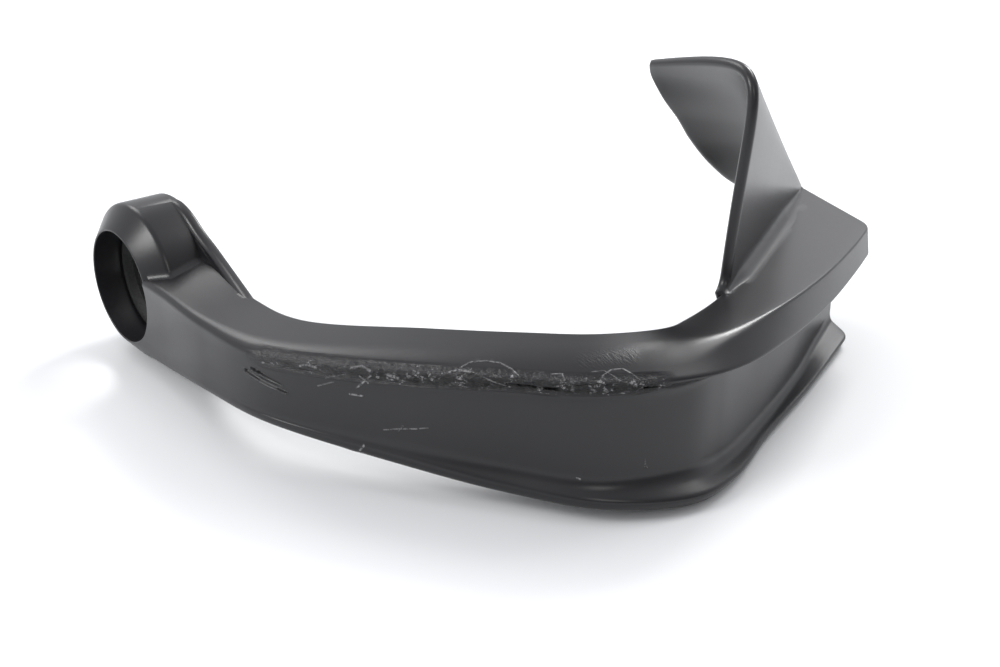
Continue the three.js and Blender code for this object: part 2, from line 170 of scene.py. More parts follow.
def new_object(name, points, faces):
    """Object from points in drafting millimetres."""
    mesh = bpy.data.meshes.new(name)
    points = (np.asarray(points, float).reshape(-1, 3) - MIDDLE) / 1000
    mesh.from_pydata(points.tolist(), [], [list(map(int, f)) for f in faces])
    mesh.validate()
    return add_object(name, mesh)


def tube(name, sections):
    """Closed solid through sections of shape (slices, corners, 3), with flat ends."""
    slices, corners = sections.shape[:2]
    faces = []
    for i in range(slices - 1):
        for k in range(corners):
            a, b = i * corners + k, i * corners + (k + 1) % corners
            faces.append([a, b, b + corners, a + corners])
    faces.append([(slices - 1) * corners + k for k in range(corners)])
    faces.append(list(range(corners - 1, -1, -1)))
    return outward(new_object(name, sections, faces))


def coordinates(mesh):
    """The mesh's points, in drafting millimetres."""
    co = np.empty(len(mesh.vertices) * 3)
    mesh.vertices.foreach_get("co", co)
    return co.reshape(-1, 3) * 1000 + MIDDLE


def outward(made):
    """Turns the faces of a closed object so that they point out."""
    mesh = made.data
    mesh.calc_loop_triangles()
    corners = np.empty(len(mesh.loop_triangles) * 3, int)
    mesh.loop_triangles.foreach_get("vertices", corners)
    a, b, c = coordinates(mesh)[corners].reshape(-1, 3, 3).transpose(1, 0, 2)
    if (a * np.cross(b, c)).sum() < 0:  # six times the volume
        mesh.flip_normals()
    return made


def settle(made):
    """Puts the result of the object's modifiers in place of its mesh."""
    graph = bpy.context.evaluated_depsgraph_get()
    made.data = bpy.data.meshes.new_from_object(made.evaluated_get(graph))
    made.modifiers.clear()


def combine(target, tool, operation):
    """Exact union or difference of two closed objects; the tool is used up."""
    step = target.modifiers.new("combine", "BOOLEAN")
    step.operation = operation
    step.solver = "MANIFOLD"
    step.object = tool
    before = len(target.data.vertices)
    settle(target)
    if len(target.data.vertices) == before:
        raise RuntimeError(f"{tool.name} did not change {target.name}")
    bpy.data.objects.remove(tool)
    return target


def join(target, tool):
    return combine(target, tool, "UNION")


def cut(target, tool):
    return combine(target, tool, "DIFFERENCE")


def quadratic(a, b, c, steps, endpoint=True):
    """Points of the curve from a to c that is drawn towards b."""
    a, b, c = (np.asarray(p, float) for p in (a, b, c))
    return [(1 - u) ** 2 * a + 2 * u * (1 - u) * b + u * u * c
            for u in np.linspace(0, 1, steps, endpoint=endpoint)]


def corner_arc(before, corner, after, reach, steps):
    """Rounded corner: points from one tangent point to the other."""
    to_before, to_after = before - corner, after - corner
    length_a = np.linalg.norm(to_before, axis=1)
    length_b = np.linalg.norm(to_after, axis=1)
    reach_a = np.minimum(reach, 0.48 * length_a)
    reach_b = np.minimum(reach, 0.48 * length_b)
    start = corner + unit(to_before) * reach_a[:, None]
    end = corner + unit(to_after) * reach_b[:, None]
    return quadratic(start, corner, end, steps)


def rounded_sections(corners, reaches, arc_steps, edge_steps):
    """Sections with rounded corners: lists of (slices, 3) arrays to (slices, points, 3)."""
    count = len(corners)
    arcs = [
        corner_arc(corners[k - 1], corners[k], corners[(k + 1) % count], reaches[k], arc_steps)
        for k in range(count)
    ]
    points = []
    for k in range(count):
        points += arcs[k]
        start, end = arcs[k][-1], arcs[(k + 1) % count][0]
        inner = edge_steps[k]
        points += [start + (end - start) * m / (inner + 1) for m in range(1, inner + 1)]
    return np.stack(points, axis=1)


def side_normals(sections, travel):
    """Directions out of each section, square to its travel."""
    tangent = np.roll(sections, -1, axis=-2) - np.roll(sections, 1, axis=-2)
    normal = unit(np.cross(tangent, travel[..., None, :]))
    middle = sections.mean(axis=-2, keepdims=True)
    return -normal if ((sections - middle) * normal).sum() < 0 else normal


def close_end(sections, radius, steps=5):
    """Rounds the far end of a run of sections with an edge of that radius."""
    last = sections[-1]
    travel = unit(sections[-1].mean(0) - sections[-2].mean(0))
    normal = side_normals(last, travel)
    extra = []
    for k in range(1, steps + 1):
        angle = math.pi / 2 * k / steps
        extra.append(
            last + travel * radius * math.sin(angle) - normal * radius * (1 - math.cos(angle))
        )
    return np.concatenate([sections, np.stack(extra)])


def lathe(name, profile, start, direction, segments):
    """Closed solid of revolution: profile of (distance along, radius), from start."""
    direction = unit(np.asarray(direction, float))
    side = unit(np.cross(direction, [0, 0, 1.0]))
    up = np.cross(side, direction)
    angles = np.linspace(0, 2 * math.pi, segments, endpoint=False)
    spokes = np.cos(angles)[:, None] * side + np.sin(angles)[:, None] * up
    points, faces, rings = [], [], []
    for distance, radius in profile:
        centre = np.asarray(start, float) + direction * distance
        if radius < 1e-6:
            rings.append([len(points)])
            points.append(centre)
        else:
            rings.append(list(range(len(points), len(points) + segments)))
            points += list(centre + spokes * radius)
    closed = len(rings[0]) > 1
    pairs = list(zip(rings, rings[1:] + rings[:1])) if closed else list(zip(rings, rings[1:]))
    for a, b in pairs:
        for k in range(segments):
            n = (k + 1) % segments
            if len(a) == 1:
                faces.append([a[0], b[k], b[n]])
            elif len(b) == 1:
                faces.append([a[k], b[0], a[n]])
            else:
                faces.append([a[k], b[k], b[n], a[n]])
    return outward(new_object(name, points, faces))


def bend(before, corner, after, reach, steps=5):
    """Rounded corner of a lathe's profile."""
    before, corner, after = (np.array(p, float) for p in (before, corner, after))
    start = corner + unit(before - corner) * min(reach, 0.48 * np.linalg.norm(before - corner))
    end = corner + unit(after - corner) * min(reach, 0.48 * np.linalg.norm(after - corner))
    return [tuple(p) for p in quadratic(start, corner, end, steps)]


def soft_profile(corners, reaches):
    """Profile whose corners are rounded by the given reaches; 0 keeps a corner sharp."""
    count = len(corners)
    profile = []
    for k, corner in enumerate(corners):
        if reaches[k] == 0:
            profile.append(tuple(corner))
        else:
            profile += bend(corners[k - 1], corner, corners[(k + 1) % count], reaches[k])
    return profile


# ---------------------------------------- the shell's pieces

WORN = (0.235, 0.56)  # stretch of the ridge that has been scraped, along the guard
WEAR_ALONG = (0.235, 0.26, 0.29, 0.32, 0.34, 0.37, 0.40, 0.43, 0.47, 0.50, 0.53, 0.56)
WEAR_AMOUNT = (0.35, 0.5, 0.55, 0.8, 0.95, 0.8, 1.0, 0.85, 0.95, 0.9, 1.0, 0.6)
SCRAPE = {"all": 0.08, "streaks": 0.52, "lumps": 0.22}  # depths of the torn grooves

LAST_SPAN = 21.9  # length of the last span of stations
END_EDGE = 0.5  # rounding of the inboard end's edge
CORNER = 4.5  # how far the rounding of the inboard end's front corners reaches


def slice_places():
    """Places along the guard: closer together where the ridge is worn and at the inboard end."""
    end = 1 - END_EDGE / LAST_SPAN / (COUNT - 1)
    turn = CORNER * 1.1 / LAST_SPAN / (COUNT - 1)
    return np.concatenate([
        np.linspace(0, WORN[0], 60, endpoint=False),
        np.linspace(WORN[0], WORN[1], 260, endpoint=False),
        np.linspace(WORN[1], end - turn, 110, endpoint=False),
        end - turn * (1 - np.linspace(0, 1, 12)) ** 2,
    ])


def fractal(point, octaves):
    value, size, scale = 0.0, 1.0, 1.0
    for _ in range(octaves):
        value += size * noise.noise(Vector(point) * scale)
        scale *= 2.1
        size *= 0.5
    return value


# Each mark: its width, then its line of points, in drafting millimetres.
LIGHT_MARKS = [
    (0.45, (31.1, -143.3, 41.9), (33.9, -144.1, 42.8), (36.6, -146.9, 43.3), (38.6, -150.4, 43.4),
     (39.4, -154.4, 42.8), (39.2, -157.9, 41.8), (39.1, -159.3, 39.8)),
    (0.5, (30.9, -144.0, 41.6), (32.4, -148.6, 41.1), (34.2, -153.1, 40.1), (37.0, -156.4, 39.0)),
    (0.5, (45.3, -163.8, 43.0), (47.1, -165.8, 43.3), (46.4, -167.7, 42.4), (44.9, -167.4, 41.0),
     (43.8, -165.9, 40.5)),
    (0.5, (52.2, -175.0, 41.9), (54.3, -173.8, 43.4), (57.2, -173.9, 44.3), (59.8, -175.4, 44.3),
     (61.0, -178.0, 43.4), (61.5, -180.5, 42.2), (59.6, -180.2, 41.2)),
    (0.4, (53.0, -171.1, 44.0), (55.5, -172.9, 44.1), (56.9, -176.9, 42.9), (58.2, -179.3, 41.6)),
    (0.9, (4.3, -104.3, 35.9), (5.6, -106.4, 36.6), (6.6, -108.9, 36.3)),
    (1.1, (12.3, -118.3, 38.0), (14.3, -120.4, 38.6), (14.9, -123.2, 38.2)),
    (1.3, (17.5, -128.0, 38.0), (19.0, -130.5, 37.5)),
    (0.9, (27.6, -141.7, 40.6), (29.8, -143.2, 41.3), (31.5, -146.3, 41.4)),
    (0.7, (12.8, -119.6, 32.2), (14.1, -122.3, 35.3), (14.8, -123.7, 36.9)),
    (0.7, (13.2, -120.7, 36.2), (14.4, -122.7, 34.4)),
    (0.5, (6.9, -108.9, 30.6), (9.3, -113.5, 32.9)),
    (0.45, (8.1, -111.4, 33.7), (11.1, -117.1, 36.1)),
    (0.8, (11.7, -117.6, 29.9), (13.6, -121.1, 30.0)),
    (0.5, (16.6, -126.3, 20.5), (19.1, -130.5, 21.7), (21.6, -134.6, 22.5), (23.6, -137.5, 23.4)),
    (0.4, (18.8, -130.0, 20.6), (19.6, -131.3, 22.8)),
    (0.9, (10.3, -115.6, 11.9), (13.1, -121.5, 12.0)),
    (0.9, (12.2, -120.5, 13.1), (12.9, -121.6, 14.7)),
    (0.8, (64.6, -180.9, 15.3), (65.2, -181.1, 14.9)),
    (0.7, (48.5, -171.1, 13.3), (49.0, -171.8, 13.0)),
    (0.5, (-0.9, -87.3, 29.2), (-0.3, -90.6, 28.7), (0.8, -94.2, 28.1), (2.0, -97.0, 27.5)),
]
DEEP_MARKS = [
    (1.7, (-1.8, -84.6, 28.9), (-1.3, -88.0, 28.2), (-0.3, -91.6, 27.5)),
    (2.3, (-0.8, -90.0, 27.9), (0.9, -95.5, 27.0)),
    (1.7, (0.9, -95.5, 27.0), (2.3, -98.7, 26.3)),
    (1.4, (-1.5, -87.3, 30.4), (-0.7, -90.4, 30.1), (0.5, -92.7, 29.3)),
    (1.4, (0.1, -92.0, 29.5), (1.4, -95.4, 28.7), (2.2, -97.4, 28.1)),
    (1.1, (62.5, -181.1, 40.4), (66.5, -182.6, 40.0), (70.0, -183.9, 39.8)),
    (1.2, (36.5, -156.0, 39.6), (41.0, -161.9, 39.8), (45.0, -167.0, 39.9)),
]
HATCH = (9, (54.0, -167.0, 45.3), (64.1, -173.2, 46.0))
MARK_DEPTH = 0.8
MARK_EDGE = 0.4  # share of a mark's width over which it fades out
BURR = {"width": 1.9, "height": 0.14, "inner": 2.2}  # beside the deep marks, as shares of them
CURL_HEIGHT = 0.13  # of the light marks
FINE_EDGE = 0.3  # edges longer than this are split where they lie close to a mark


def bar():
    t = slice_places()
    order = ("back", "crease", "ridge", "under", "foot", "lip", "base", "heel")
    corners = [rail(OFFSETS[name], t) for name in order]
    to_end = (t[-1] - t) * (COUNT - 1) * LAST_SPAN
    inset = CORNER * (1 - np.sqrt(np.minimum(to_end / CORNER, 1))) ** 2
    across = unit(INWARD[-1] + SKEW[-1] * ALONG[-1])
    for name in ("crease", "ridge", "lip", "base"):
        corners[order.index(name)] += inset[:, None] * across
    reaches = [by_station(ROUNDING[name], t) for name in order]
    edge_steps = (6, 8, 8, 8, 3, 1, 7, 9)
    sections = rounded_sections(corners, reaches, 9, edge_steps)
    sections = scrape(sections, t, corners[order.index("ridge")])
    made = tube("shell", close_end(sections, END_EDGE))
    for _ in range(3):
        refine(made)
    carve(made)
    return made


def from_line(points, line):
    """Distance of each point from a line of points."""
    nearest = np.full(len(points), 1e9)
    for a, b in zip(np.array(line[:-1], float), np.array(line[1:], float)):
        share = np.clip((points - a) @ (b - a) / ((b - a) @ (b - a)), 0, 1)
        nearest = np.minimum(nearest, np.linalg.norm(points - a - share[:, None] * (b - a), axis=1))
    return nearest


def mark_share(points, marks):
    """1 in the middle of the marks, falling to 0 at their edges."""
    share = np.zeros(len(points))
    for width, *line in marks:
        inside = np.clip((width / 2 - from_line(points, line)) / (width * MARK_EDGE), 0, 1)
        share = np.maximum(share, inside * inside * (3 - 2 * inside))
    return share


def refine(made):
    """Splits the edges that lie close to a mark."""
    shape = bmesh.new()
    shape.from_mesh(made.data)
    shape.edges.ensure_lookup_table()
    ends = np.array([[*e.verts[0].co, *e.verts[1].co] for e in shape.edges])
    first, last = ends[:, :3] * 1000 + MIDDLE, ends[:, 3:] * 1000 + MIDDLE
    length = np.linalg.norm(last - first, axis=1)
    middle = (first + last) / 2
    close = np.zeros(len(middle), bool)
    for width, *line in LIGHT_MARKS + DEEP_MARKS:
        close |= from_line(middle, line) < width / 2 + 0.35 + 0.25 * length
    chosen = [shape.edges[k] for k in np.nonzero((length > FINE_EDGE) & close)[0]]
    bmesh.ops.subdivide_edges(shape, edges=chosen, cuts=1, use_grid_fill=True)
    shape.to_mesh(made.data)
    shape.free()


def carve(made):
    """Cuts the deep marks into the surface and lifts the burrs beside them."""
    points = coordinates(made.data)
    normals = np.empty(len(points) * 3)
    made.data.vertices.foreach_get("normal", normals)
    normals = normals.reshape(-1, 3)
    deep = mark_share(points, DEEP_MARKS)
    depth = MARK_DEPTH * deep
    wide = [(width * BURR["width"], *line) for width, *line in DEEP_MARKS]
    burr = BURR["height"] * np.clip(mark_share(points, wide) - BURR["inner"] * deep, 0, 1)
    lift = CURL_HEIGHT * mark_share(points, LIGHT_MARKS)
    points += normals * (burr + lift - depth)[:, None]
    made.data.vertices.foreach_set("co", ((points - MIDDLE) / 1000).ravel())
    made.data.update()


def worn_share(height, distance, along):
    """How badly a point near the ridge is scraped, from 0 to 1."""
    below, half_band = 1.1, 3.0  # the band's middle lies a little below the ridge
    reach, fade, end_fade = 5.2, 1.5, 0.02
    across = np.clip(1 - ((height + below) / half_band) ** 2, 0, 1)
    across = across * np.clip((reach - distance) / fade, 0, 1)
    ends = np.clip(np.minimum(along - WORN[0], WORN[1] - along) / end_fade, 0, 1)
    patch = np.interp(along, WEAR_ALONG, WEAR_AMOUNT)
    return across * ends * patch


def scrape(sections, t, ridge):
    """Chewed stretches of the ridge: shallow torn grooves drawn out along it."""
    normal = side_normals(sections, np.gradient(ridge, axis=0))
    length = np.concatenate([[0], np.cumsum(np.linalg.norm(np.diff(ridge, axis=0), axis=1))])
    height = sections[..., 2] - ridge[:, None, 2]
    distance = np.linalg.norm(sections - ridge[:, None], axis=2)
    share = worn_share(height, distance, t[:, None] + 0 * height)
    for i, k in zip(*np.nonzero(share > 0.01)):
        streaks = fractal((length[i] * 0.30, height[i, k] * 1.1, 7.0), 3)
        lumps = fractal((length[i] * 0.9, height[i, k] * 1.7, 19.0), 2)
        depth = SCRAPE["all"] + SCRAPE["streaks"] * max(streaks, 0) + SCRAPE["lumps"] * lumps
        sections[i, k] -= normal[i, k] * depth * share[i, k]
    return sections


def pocket_rails():
    """Station offsets of the hollow: front edges, top, bottom and the rear face by height."""
    back, crease, under, foot, heel = (OFFSETS[n] for n in ("back", "crease", "under", "foot", "heel"))
    top = np.minimum(back[:, 1], crease[:, 1] + 3) - WALL
    bottom = heel[:, 1] + WALL

    def rear(height):
        share = (height - heel[:, 1]) / (back[:, 1] - heel[:, 1])
        return heel[:, 0] + share * (back[:, 0] - heel[:, 0])

    return crease, under, foot, top, bottom, rear


POCKET = (0.15, 0.945)  # where the hollow begins and ends, along the guard


def pocket():
    t = np.linspace(*POCKET, 170)
    crease, under, foot, top, bottom, rear = pocket_rails()
    past = 6  # cuts clear of the rear face
    shelf = np.minimum(under[:, 1] + WALL, top - 1.6)
    nose = np.maximum(crease[:, 0], under[:, 0] * 0.4) + WALL + 1
    corners = [
        (rear(top) + past, top),
        (nose, top),
        (nose, shelf),
        (np.maximum(under[:, 0] + WALL, nose + 0.3), shelf - 0.1),
        (foot[:, 0] + WALL + 0.3, bottom),
        (rear(bottom) + past, bottom),
    ]
    sections = np.stack([rail(np.stack(c, axis=1), t) for c in corners], axis=1)
    return tube("pocket", sections)


EYE = {"bore": 19, "land": 19.6, "outer": 27, "chamfer": 6.3, "start": 18.5, "end": 22.5}
EYE_CENTRE = (0, 0, EYE["outer"])  # the ring rests on the bench
INBOARD = (1, 0, 0)


def ring():
    corners = [(0, 0), (0, EYE["land"]), (EYE["chamfer"], EYE["outer"]), (EYE["end"], EYE["outer"]),
               (EYE["end"], 0)]
    profile = soft_profile(corners, (0, 0.35, 1.3, 1.0, 0))
    return lathe("ring", profile, EYE_CENTRE, INBOARD, 144)


def bore():
    soft = 0.35
    mouth = [(soft * (1 - math.cos(a)), EYE["bore"] + soft * (1 - math.sin(a)))
             for a in np.linspace(0, math.pi / 2, 6)]
    far = [(EYE["end"] - x, r) for x, r in reversed(mouth)]
    wide = EYE["bore"] + soft
    profile = [(-5, 0), (-5, wide), *mouth, *far, (EYE["end"] + 5, wide), (EYE["end"] + 5, 0)]
    return lathe("bore", profile, EYE_CENTRE, INBOARD, 144)


GUSSET = {"straight": -26, "tip": -60, "lean": 5.5, "power": 1.4}
COLLAR_EDGE = {"outboard": 1.9, "inboard": 1.1}


def collar():
    """Raised collar behind the ring, whose top runs down to the arm as a gusset."""
    top = 2 * EYE["outer"]
    tip = GUSSET["tip"]
    outline = [np.array([y, top]) for y in np.linspace(0, -6, 6, endpoint=False)]
    outline += quadratic((-6, top), (-12, top - 0.6), (-18, 49.2), 16, False)
    outline += quadratic((-18, 49.2), (-31, 41), (tip, 37.6), 44, False)
    outline += [np.array([tip, z]) for z in np.linspace(37.6, 14, 12, endpoint=False)]
    outline += [np.array([tip, 14]) + np.array([46, -8]) * u
                for u in np.linspace(0, 1, 12, endpoint=False)]
    angles = np.linspace(math.pi * 1.33, math.pi * 2.5, 110, endpoint=False)
    outline += [np.array([math.cos(a), math.sin(a)]) * EYE["outer"] + [0, EYE["outer"]] for a in angles]
    flat = np.array(outline)
    layers = [np.concatenate([np.full((len(flat), 1), x), flat], axis=1)
              for x in (EYE["start"] + COLLAR_EDGE["outboard"], EYE["end"] - COLLAR_EDGE["inboard"])]
    sections = close_end(np.stack(layers), COLLAR_EDGE["inboard"], 6)
    sections = close_end(sections[::-1], COLLAR_EDGE["outboard"], 8)[::-1]
    past = np.maximum(GUSSET["straight"] - sections[..., 1], 0) / (GUSSET["straight"] - tip)
    sections[..., 0] -= GUSSET["lean"] * past ** GUSSET["power"]
    return tube("collar", sections)


def eye_fillet(shell):
    """Soft inner corner where the arm's top face meets the ring."""
    tree = BVHTree.FromObject(shell, bpy.context.evaluated_depsgraph_get())
    radius = 3.2
    sections = []
    for x in np.linspace(1.2, 19.2, 28):
        outer = min(EYE["land"] + (EYE["outer"] - EYE["land"]) * x / EYE["chamfer"], EYE["outer"])
        y = -24.0
        for _ in range(4):
            top = height_at(tree, x, y) - 0.04
            centre = np.array([-math.sqrt((outer + radius) ** 2 - (top + radius - EYE["outer"]) ** 2),
                               top + radius])
            y = centre[0]
        hub = np.array([0, EYE["outer"]])
        from_hub = unit(centre - hub)
        first = math.atan2(-from_hub[1], -from_hub[0])
        last = -math.pi / 2
        arc = [centre + radius * np.array([math.cos(a), math.sin(a)])
               for a in np.linspace(first, last, 12)]
        deep_y = -math.sqrt(outer ** 2 - (top - EYE["outer"]) ** 2) + 1.6
        points = arc + [np.array([arc[-1][0], top - 1.2]), np.array([deep_y, top - 1.2]),
                        np.array([deep_y, arc[0][1]])]
        sections.append([[x, p[0], p[1]] for p in points])
    return tube("fillet", np.array(sections))


def height_at(tree, x, y):
    """Height of the surface under a plan point, in drafting millimetres."""
    start = (np.array([x, y, 200.0]) - MIDDLE) / 1000
    hit = tree.ray_cast(Vector(start), Vector((0, 0, -1)))[0]
    return hit.z * 1000


# ---------------------------------------- the wing

ROOT = np.array([(118.2, -158.5, 45), (217, -107, 41)], float)
CROWN = np.array([(126.8, -157.3, 114.1), (217, -106, 42.5)], float)
TAIL = [(141.6, -102.5, 100.1), (143.6, -101.3, 95.5), (145.8, -104.2, 88.5), (151.3, -105.6, 81),
        (158.2, -105.5, 72), (168.1, -106, 61.5), (186.1, -104.6, 49.4), (215.8, -102.3, 42.6)]
HALF = 1.7  # half the wing's thickness
ROOT_LENGTH = 108.7
ROOT_RATE = 2.95  # how fast the surface rises from its root as q grows, in heights of the wing
BINOMIAL = (1, 5, 10, 10, 5, 1)


def wing_surface(s, q):
    """Middle surface of the wing at places s along and q around, both arrays of one shape."""
    s3 = s[..., None]
    root = ROOT[0] + (ROOT[1] - ROOT[0]) * s3
    crown = CROWN[0] + (CROWN[1] - CROWN[0]) * s3
    tail = curve_points(TAIL, np.clip(s, 0, 1).ravel()).reshape(*s.shape, 3)
    hull = (root, root + (crown - root) * 0.59, crown, crown + (tail - crown) * -0.31,
            crown + (tail - crown) * 0.58, tail)
    total = 0
    for k, (times, point) in enumerate(zip(BINOMIAL, hull)):
        total = total + times * ((1 - q) ** (5 - k) * q ** k)[..., None] * point
    return total


def wing_slopes(s, q, step=1e-3):
    """How the surface moves per unit of s and of q."""
    s = np.minimum(s, 1 - step)
    q = np.minimum(q, 1 - step)
    base = wing_surface(s, q)
    return (wing_surface(s + step, q) - base) / step, (wing_surface(s, q + step) - base) / step


def quarter_round(radius, above):
    """How far a quarter-round inner corner stands out, at a height above its foot."""
    left = np.maximum(radius - np.maximum(above, 0), 0)
    return radius - np.sqrt(np.maximum(radius ** 2 - left ** 2, 0))


def wing(shell):
    """The wing, standing on the finished surface of the bar."""
    tree = BVHTree.FromObject(shell, bpy.context.evaluated_depsgraph_get())
    rounds = np.array([HALF * (1 - math.cos(a)) for a in np.linspace(0, math.pi / 2, 7)])
    # heights of the lowest rows above the root
    low = np.array([0, 0.3, 0.7, 1.2, 1.8, 2.5, 3.3, 4.2, 5.3, 6.6, 8.2, 10.0])
    rows, columns = 46, 40
    # nominal places, then the exact ones with the edges' own spacings
    share_s = np.concatenate([np.zeros(len(rounds)), np.linspace(0, 1, rows)[1:] ** 1.15])
    share_q = np.concatenate([np.zeros(len(low)), np.linspace(0, 1, columns)[1:],
                              np.ones(len(rounds) - 1)])
    height = (CROWN[0] - ROOT[0])[2] + ((CROWN[1] - ROOT[1]) - (CROWN[0] - ROOT[0]))[2] * share_s
    S, Q = np.meshgrid(share_s, share_q, indexing="ij")
    H = np.repeat(height[:, None], len(share_q), axis=1)
    # where the wing is low, its lowest rows and its top rounding are pressed together
    press_low, press_top = np.minimum(1, H / 24), np.minimum(1, H / 12)
    start_q = low[-1] * press_low / (ROOT_RATE * H)
    slope_s, slope_q = wing_slopes(S, np.clip(Q, 0, 1))
    speed_s, speed_q = np.linalg.norm(slope_s, axis=2), np.linalg.norm(slope_q, axis=2)
    end_q = 1 - HALF * press_top / speed_q[:, -1:]
    q = start_q + (end_q - start_q) * Q
    for j, d in enumerate(low):
        q[:, j] = (d * press_low / (ROOT_RATE * H))[:, j]
    for j, d in enumerate(rounds[:-1][::-1]):
        column = len(share_q) - len(rounds) + 1 + j
        q[:, column] = (1 - d * press_top / speed_q)[:, column]
    start_s = HALF / speed_s
    s = start_s + (1 - start_s) * S
    for i, d in enumerate(rounds):
        s[i] = (d / speed_s)[i]
    # the free edge flows out over the flange at its foot
    plain = wing_surface(s, q)
    ahead = [0.9, -3.4]  # from the root to the flange in front of it, in plan
    foot_height = np.array([height_at(tree, *(ROOT[0] + (ROOT[1] - ROOT[0]) * a)[:2] + ahead)
                            if a < 0.97 else ROOT[1][2] + 0.3 for a in np.clip(share_s, 0.02, 1)])
    flow = quarter_round(4.0, plain[..., 2] - foot_height[:, None])
    flow_end = 0.35  # share of the wing's length where the flow has died out
    s = s - flow / ROOT_LENGTH * np.maximum(1 - S / flow_end, 0) ** 2
    middle = wing_surface(s, q)
    slope_s, slope_q = wing_slopes(s, q)
    normal = unit(np.cross(slope_s, slope_q))
    edge_s = np.concatenate([rounds, np.full(len(share_s) - len(rounds), HALF)])
    edge_q = np.concatenate([np.full(len(share_q) - len(rounds) + 1, HALF), rounds[:-1][::-1]])
    full_s = np.sqrt(np.maximum(1 - (1 - edge_s / HALF) ** 2, 0))
    full_q = np.sqrt(np.maximum(1 - (1 - edge_q / HALF) ** 2, 0))
    half = HALF * full_s[:, None] * full_q[None, :]
    # soft inner corner between the wing's front and the flange
    least, more, over = 1.6, 3.2, 14  # the radius grows by `more` over a first stretch
    ease = np.minimum(S * ROOT_LENGTH / over, 1)
    soft = np.minimum(least + more * ease * ease * (3 - 2 * ease), 0.2 * H)
    flare = quarter_round(soft, middle[..., 2] - foot_height[:, None]) * full_s[:, None]
    front = middle + normal * (half + flare)[..., None]
    rear = middle - normal * half[..., None]
    # the foot, sunk in the flange
    sunk = np.array([0, 0, 3.0])
    front = np.concatenate([front[:, :1] - sunk, front], axis=1)
    rear_foot = middle[:, :1] - normal[:, :1] * 0.2 - sunk
    rear = np.concatenate([rear_foot, rear], axis=1)
    return sheet("wing", front, rear)


def sheet(name, front, rear):
    """Closed solid between two grids of points; they meet along the rounded edges."""
    rows, columns = front.shape[:2]
    points = np.concatenate([front.reshape(-1, 3), rear.reshape(-1, 3)])
    offset = rows * columns
    faces = []
    for i in range(rows - 1):
        for j in range(columns - 1):
            a = i * columns + j
            faces.append([a, a + columns, a + columns + 1, a + 1])
            faces.append([a + offset, a + 1 + offset, a + columns + 1 + offset, a + columns + offset])
    border = list(range(columns - 1))
    border += [i * columns + columns - 1 for i in range(rows - 1)]
    border += [(rows - 1) * columns + j for j in range(columns - 1, 0, -1)]
    border += [i * columns for i in range(rows - 1, 0, -1)]
    for a, b in zip(border, border[1:] + border[:1]):
        faces.append([a, b, b + offset, a + offset])
    made = new_object(name, points, faces)
    weld(made)
    return outward(made)


def weld(made, distance=2e-6):
    """Joins points that coincide."""
    step = made.modifiers.new("weld", "WELD")
    step.merge_threshold = distance
    settle(made)


# ---------------------------------------- posts, cover and fixings

# along the guard, and up its rear face as a share of the height
SCREW_PLACES = [(0.18, 0.5), (0.3, 0.5), (0.42, 0.5), (0.54, 0.5), (0.655, 0.8), (0.655, 0.22),
                (0.925, 0.5)]
PAD_PLACES = (0.745, 0.855)
YAW = math.radians(22)
PAD_DIRECTION = np.array([-math.sin(YAW), math.cos(YAW), 0])
SCREW = {"shank": 1.25, "head": 2.9, "height": 1.3, "length": 11, "recess": 3.4}
PAD = {"outer": 6.6, "stand": 1.5, "hole": 4.5, "depth": 10.3}
INSERT = {"outer": 4.2, "inner": 2.55, "length": 10}


def on_rear_face(along, share):
    """A place on the rear face, the way out of it, and the depth to the front wall's middle."""
    t = np.array([along])
    _, under, foot, top, bottom, rear = pocket_rails()
    low, high = (np.stack([rear(h), h], axis=1) for h in (bottom, top))
    face = rail(low, t)[0] + (rail(high, t)[0] - rail(low, t)[0]) * share
    step = 1e-4
    travel = rail(low, t + step)[0] - rail(low, t - step)[0]
    inward = unit(np.array([-travel[1], travel[0], 0]))
    wall_low = rail(np.stack([foot[:, 0] + WALL / 2, bottom], axis=1), t)[0]
    wall_high = rail(np.stack([under[:, 0] + WALL / 2, under[:, 1]], axis=1), t)[0]
    wall = wall_low + (wall_high - wall_low) * share
    return face, inward, float((face - wall) @ inward)


SEATS = [on_rear_face(*where) for where in SCREW_PLACES]
PADS = []
for where in PAD_PLACES:
    pad_face, _, pad_depth = on_rear_face(where, 0.5)
    PADS.append((pad_face, PAD_DIRECTION, pad_depth))


def rod(start, direction, length, radius, segments=40):
    return lathe("rod", [(0, 0), (0, radius), (length, radius), (length, 0)], start, direction, segments)


def add_posts(shell):
    for face, inward, depth in SEATS:
        shell = join(shell, rod(face - inward * depth, inward, depth - COVER - 1, 3.8))
        shell = cut(shell, rod(face - inward * 13, inward, 13, SCREW["shank"] + GAP, 20))
    for face, inward, depth in PADS:
        length = depth + PAD["stand"]
        corners = [(0, 0), (0, PAD["outer"]), (length, PAD["outer"]), (length, 0)]
        profile = soft_profile(corners, (0, 0, 0.5, 0))
        shell = join(shell, lathe("post", profile, face - inward * depth, inward, 64))
        end = face + inward * PAD["stand"]
        hole = lathe("hole", [(0, 0), (0, PAD["hole"]), (PAD["depth"] - 0.5, PAD["hole"]),
                              (PAD["depth"] + 0.5, PAD["hole"] + 1), (PAD["depth"] + 0.5, 0)],
                     end - inward * PAD["depth"], inward, 64)
        shell = cut(shell, hole)
    return shell


def make_shell():
    shell = bar()
    fillet = eye_fillet(shell)
    wing_piece = wing(shell)
    shell = join(shell, collar())
    shell = cut(shell, pocket())
    shell = add_posts(shell)
    for part in (fillet, wing_piece, ring()):
        shell = join(shell, part)
    shell = cut(shell, bore())
    return shell


